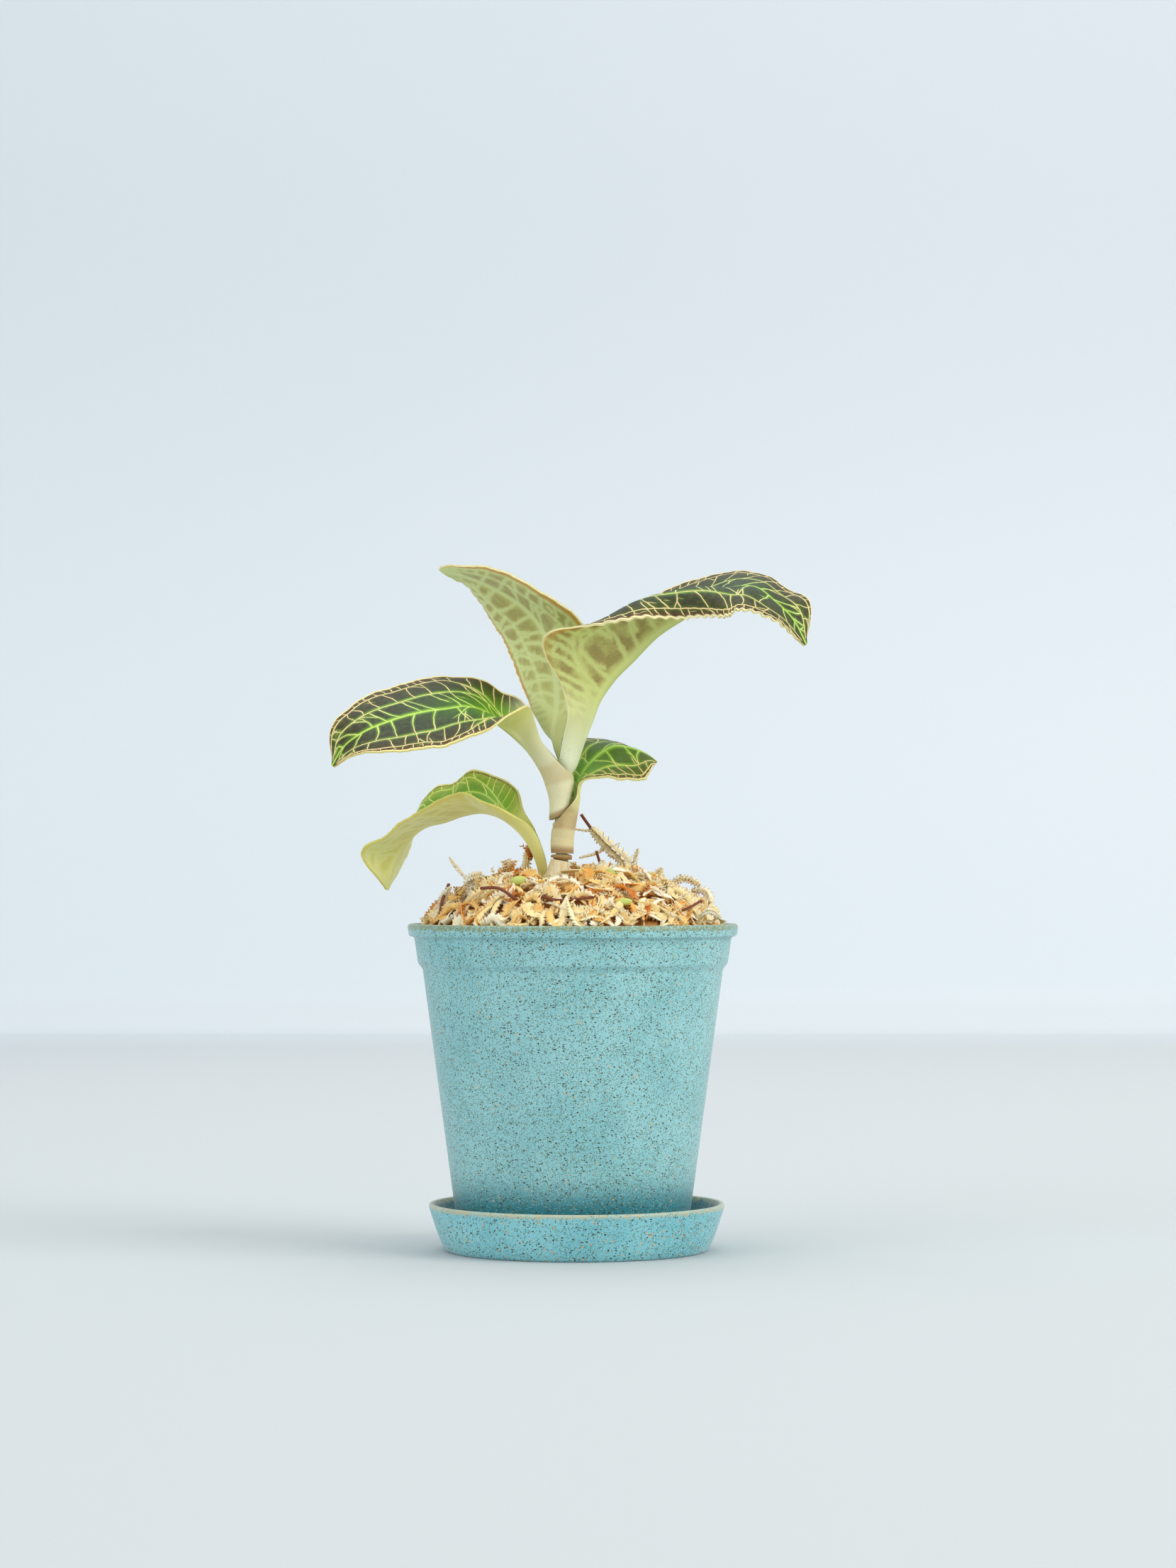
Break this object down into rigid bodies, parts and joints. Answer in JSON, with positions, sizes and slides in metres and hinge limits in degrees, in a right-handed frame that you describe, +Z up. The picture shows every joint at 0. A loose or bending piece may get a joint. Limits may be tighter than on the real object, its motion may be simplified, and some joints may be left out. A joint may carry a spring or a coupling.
{
  "type": "potted jewel orchid",
  "caption": "Small jewel orchid with net-veined leaves, standing in moss in a speckled tapered pot with a lip, on a round saucer.",
  "frame": {"origin": "middle of the saucer's flat underside", "axes": "+Z up along the pot, -Y towards the viewer of the picture, +X to the viewer's right, where the largest leaf reaches"},
  "size_m": [0.1016, 0.07, 0.1459],
  "materials": {
    "pot_shell": "satin",
    "saucer_shell": "satin",
    "moss": "matte",
    "stem": "satin",
    "dry_sheath": "matte",
    "leaf_lower_left": "satin",
    "leaf_behind_stem": "satin",
    "leaf_middle_left": "satin",
    "leaf_right": "satin",
    "leaf_top": "satin"
  },
  "bodies": {
    "root": {"saucer": "saucer_shell", "pot": "pot_shell", "moss": "moss", "stem": "stem", "dry_sheath": "dry_sheath", "leaf_1_lower_left": "leaf_lower_left", "leaf_2_behind_stem": "leaf_behind_stem", "leaf_3_middle_left": "leaf_middle_left", "leaf_4_right": "leaf_right", "leaf_5_top": "leaf_top"}
  },
  "joints": []
}
